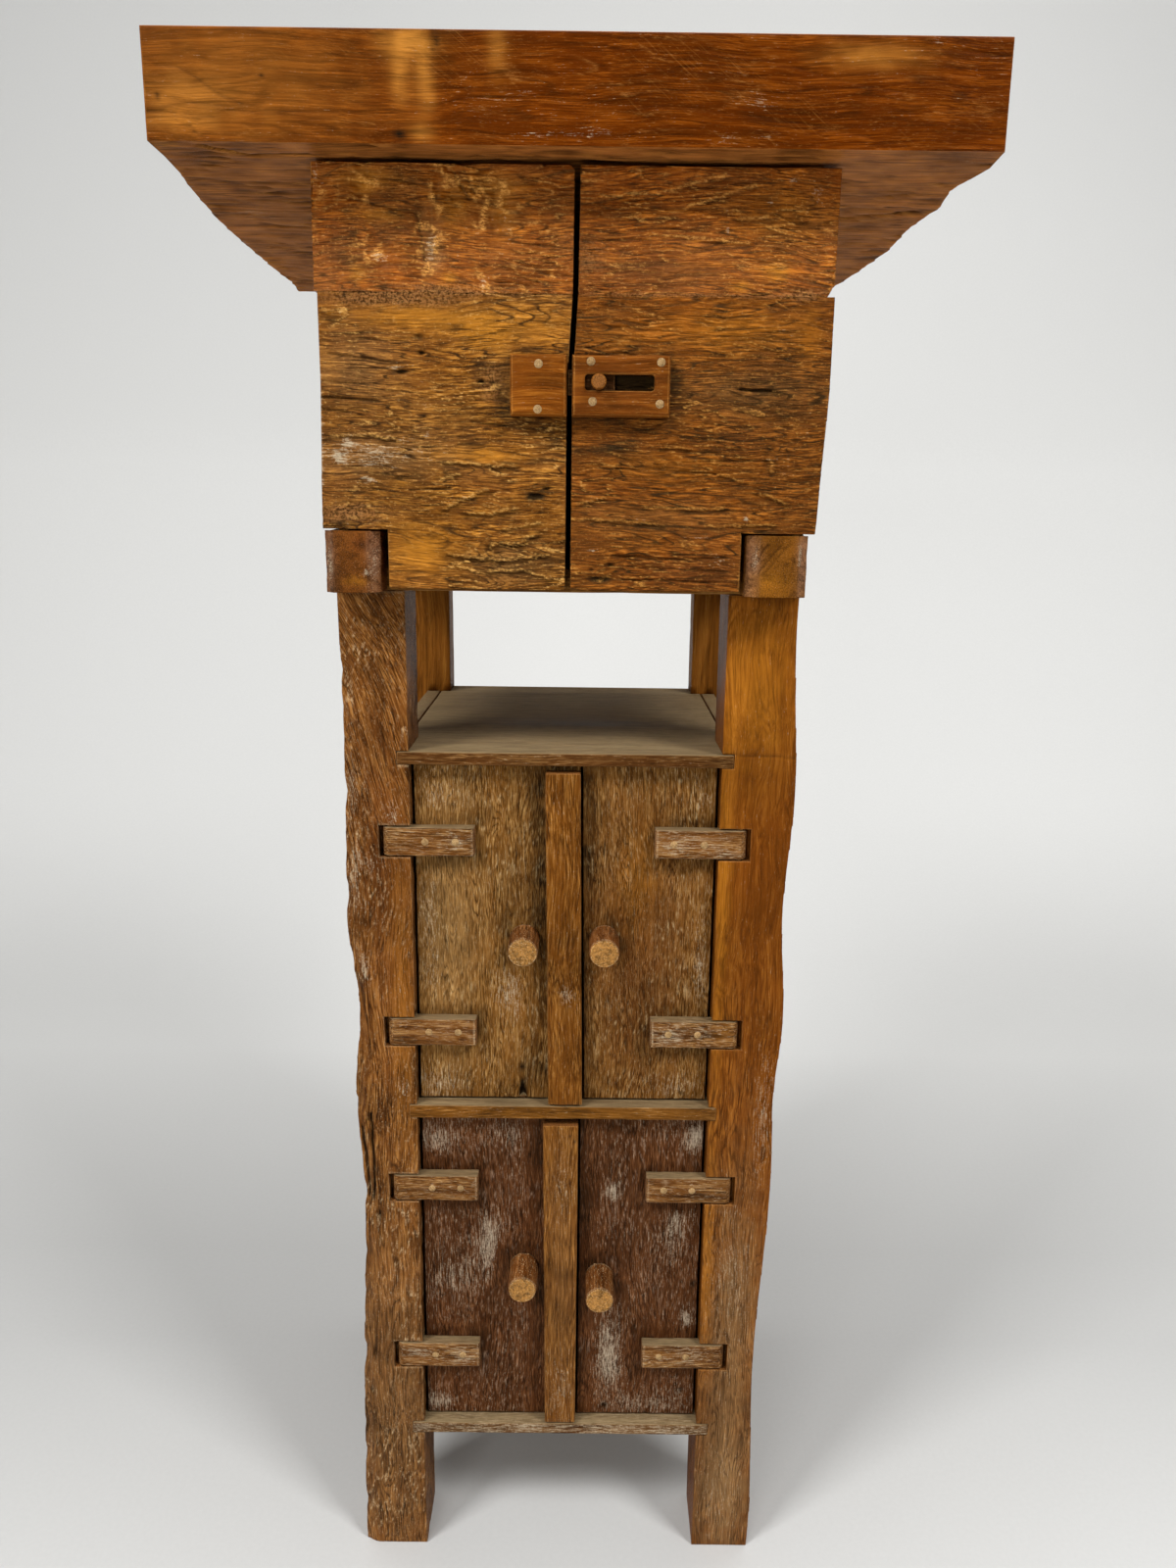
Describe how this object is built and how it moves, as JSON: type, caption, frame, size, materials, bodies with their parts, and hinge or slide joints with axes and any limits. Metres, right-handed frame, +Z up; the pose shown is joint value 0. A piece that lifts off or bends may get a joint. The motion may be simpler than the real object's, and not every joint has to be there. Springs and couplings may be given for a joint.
{
  "type": "pedestal cabinet",
  "caption": "Tall rustic teak pedestal cabinet with a thick overhanging top, a latched upper box, an open niche and strap-hinged doors below.",
  "frame": {"origin": "on the floor under the middle of the top slab's outline", "axes": "+Z up, -Y towards the doors, +X to the right as seen from the front"},
  "size_m": [0.51, 0.407, 1.1],
  "materials": {
    "slab": "satin oiled",
    "bearer": "worn, dull",
    "left_post": "worn, dull",
    "right_post": "satin oiled",
    "rear_post": "worn, dull",
    "shelf": "worn, dull",
    "carcase": "worn, dull",
    "peg": "worn, dull",
    "dowel": "worn, dull",
    "strap": "worn, dull",
    "strip": "worn, dull",
    "knob": "worn, raw end grain",
    "latch": "satin oiled",
    "upper_door": "weathered and waxed",
    "middle_door": "worn, dull",
    "lower_door": "worn, with remains of old whitewash"
  },
  "bodies": {
    "stand": {"back_panel": "carcase", "bearer_left": "bearer", "bearer_right": "bearer", "bottom_shelf": "shelf", "box_dowels": "dowel", "front_post_left": "left_post", "front_post_right": "right_post", "hinge_pins": "dowel", "middle_shelf": "shelf", "open_shelf": "shelf", "rear_post_left": "rear_post", "rear_post_right": "rear_post", "side_panel_left": "carcase", "side_panel_right": "carcase", "top_slab": "slab", "upper_back": "carcase", "upper_floor": "carcase", "upper_side_left": "carcase", "upper_side_right": "carcase"},
    "upper_left_door": {"upper_left_door_top_board": "upper_door", "upper_left_door_bottom_board": "upper_door", "upper_left_door_dowels": "dowel", "upper_left_door_pivots": "dowel", "latch_keeper": "latch", "keeper_pegs": "peg"},
    "upper_right_door": {"upper_right_door_top_board": "upper_door", "upper_right_door_bottom_board": "upper_door", "upper_right_door_dowels": "dowel", "upper_right_door_pivots": "dowel", "latch_housing": "latch", "housing_pegs": "peg"},
    "bolt": {"latch_bolt": "latch", "latch_peg": "latch"},
    "middle_left_door": {"middle_left_door_bottom_strap": "strap", "middle_left_door_knob": "knob", "middle_left_door_panel": "middle_door", "middle_left_door_strap_pegs": "peg", "middle_left_door_top_strap": "strap", "middle_cover_strip": "strip"},
    "middle_right_door": {"middle_right_door_bottom_strap": "strap", "middle_right_door_knob": "knob", "middle_right_door_panel": "middle_door", "middle_right_door_strap_pegs": "peg", "middle_right_door_top_strap": "strap"},
    "lower_left_door": {"lower_left_door_bottom_strap": "strap", "lower_left_door_knob": "knob", "lower_left_door_panel": "lower_door", "lower_left_door_strap_pegs": "peg", "lower_left_door_top_strap": "strap", "lower_cover_strip": "strip"},
    "lower_right_door": {"lower_right_door_bottom_strap": "strap", "lower_right_door_knob": "knob", "lower_right_door_panel": "lower_door", "lower_right_door_strap_pegs": "peg", "lower_right_door_top_strap": "strap"}
  },
  "joints": [
    {"name": "upper_left_door_hinge", "type": "hinge", "parent": "stand", "child": "upper_left_door", "pos_m": [-0.1455, -0.1605, 0.9], "axis": [0, 0, -1], "range_deg": [0, 95]},
    {"name": "upper_right_door_hinge", "type": "hinge", "parent": "stand", "child": "upper_right_door", "pos_m": [0.151, -0.1605, 0.9], "axis": [0, 0, 1], "range_deg": [0, 95]},
    {"name": "middle_left_door_hinge", "type": "hinge", "parent": "stand", "child": "middle_left_door", "pos_m": [-0.1241, -0.1416, 0.529], "axis": [0, 0, -1], "range_deg": [0, 95]},
    {"name": "middle_right_door_hinge", "type": "hinge", "parent": "stand", "child": "middle_right_door", "pos_m": [0.1241, -0.1416, 0.529], "axis": [0, 0, 1], "range_deg": [0, 95]},
    {"name": "lower_left_door_hinge", "type": "hinge", "parent": "stand", "child": "lower_left_door", "pos_m": [-0.1241, -0.1416, 0.253], "axis": [0, 0, -1], "range_deg": [0, 95]},
    {"name": "lower_right_door_hinge", "type": "hinge", "parent": "stand", "child": "lower_right_door", "pos_m": [0.1241, -0.1416, 0.253], "axis": [0, 0, 1], "range_deg": [0, 95]},
    {"name": "latch_slide", "type": "slide", "parent": "upper_right_door", "child": "bolt", "axis": [1, 0, 0], "range_m": [-0.0044, 0.03]}
  ]
}
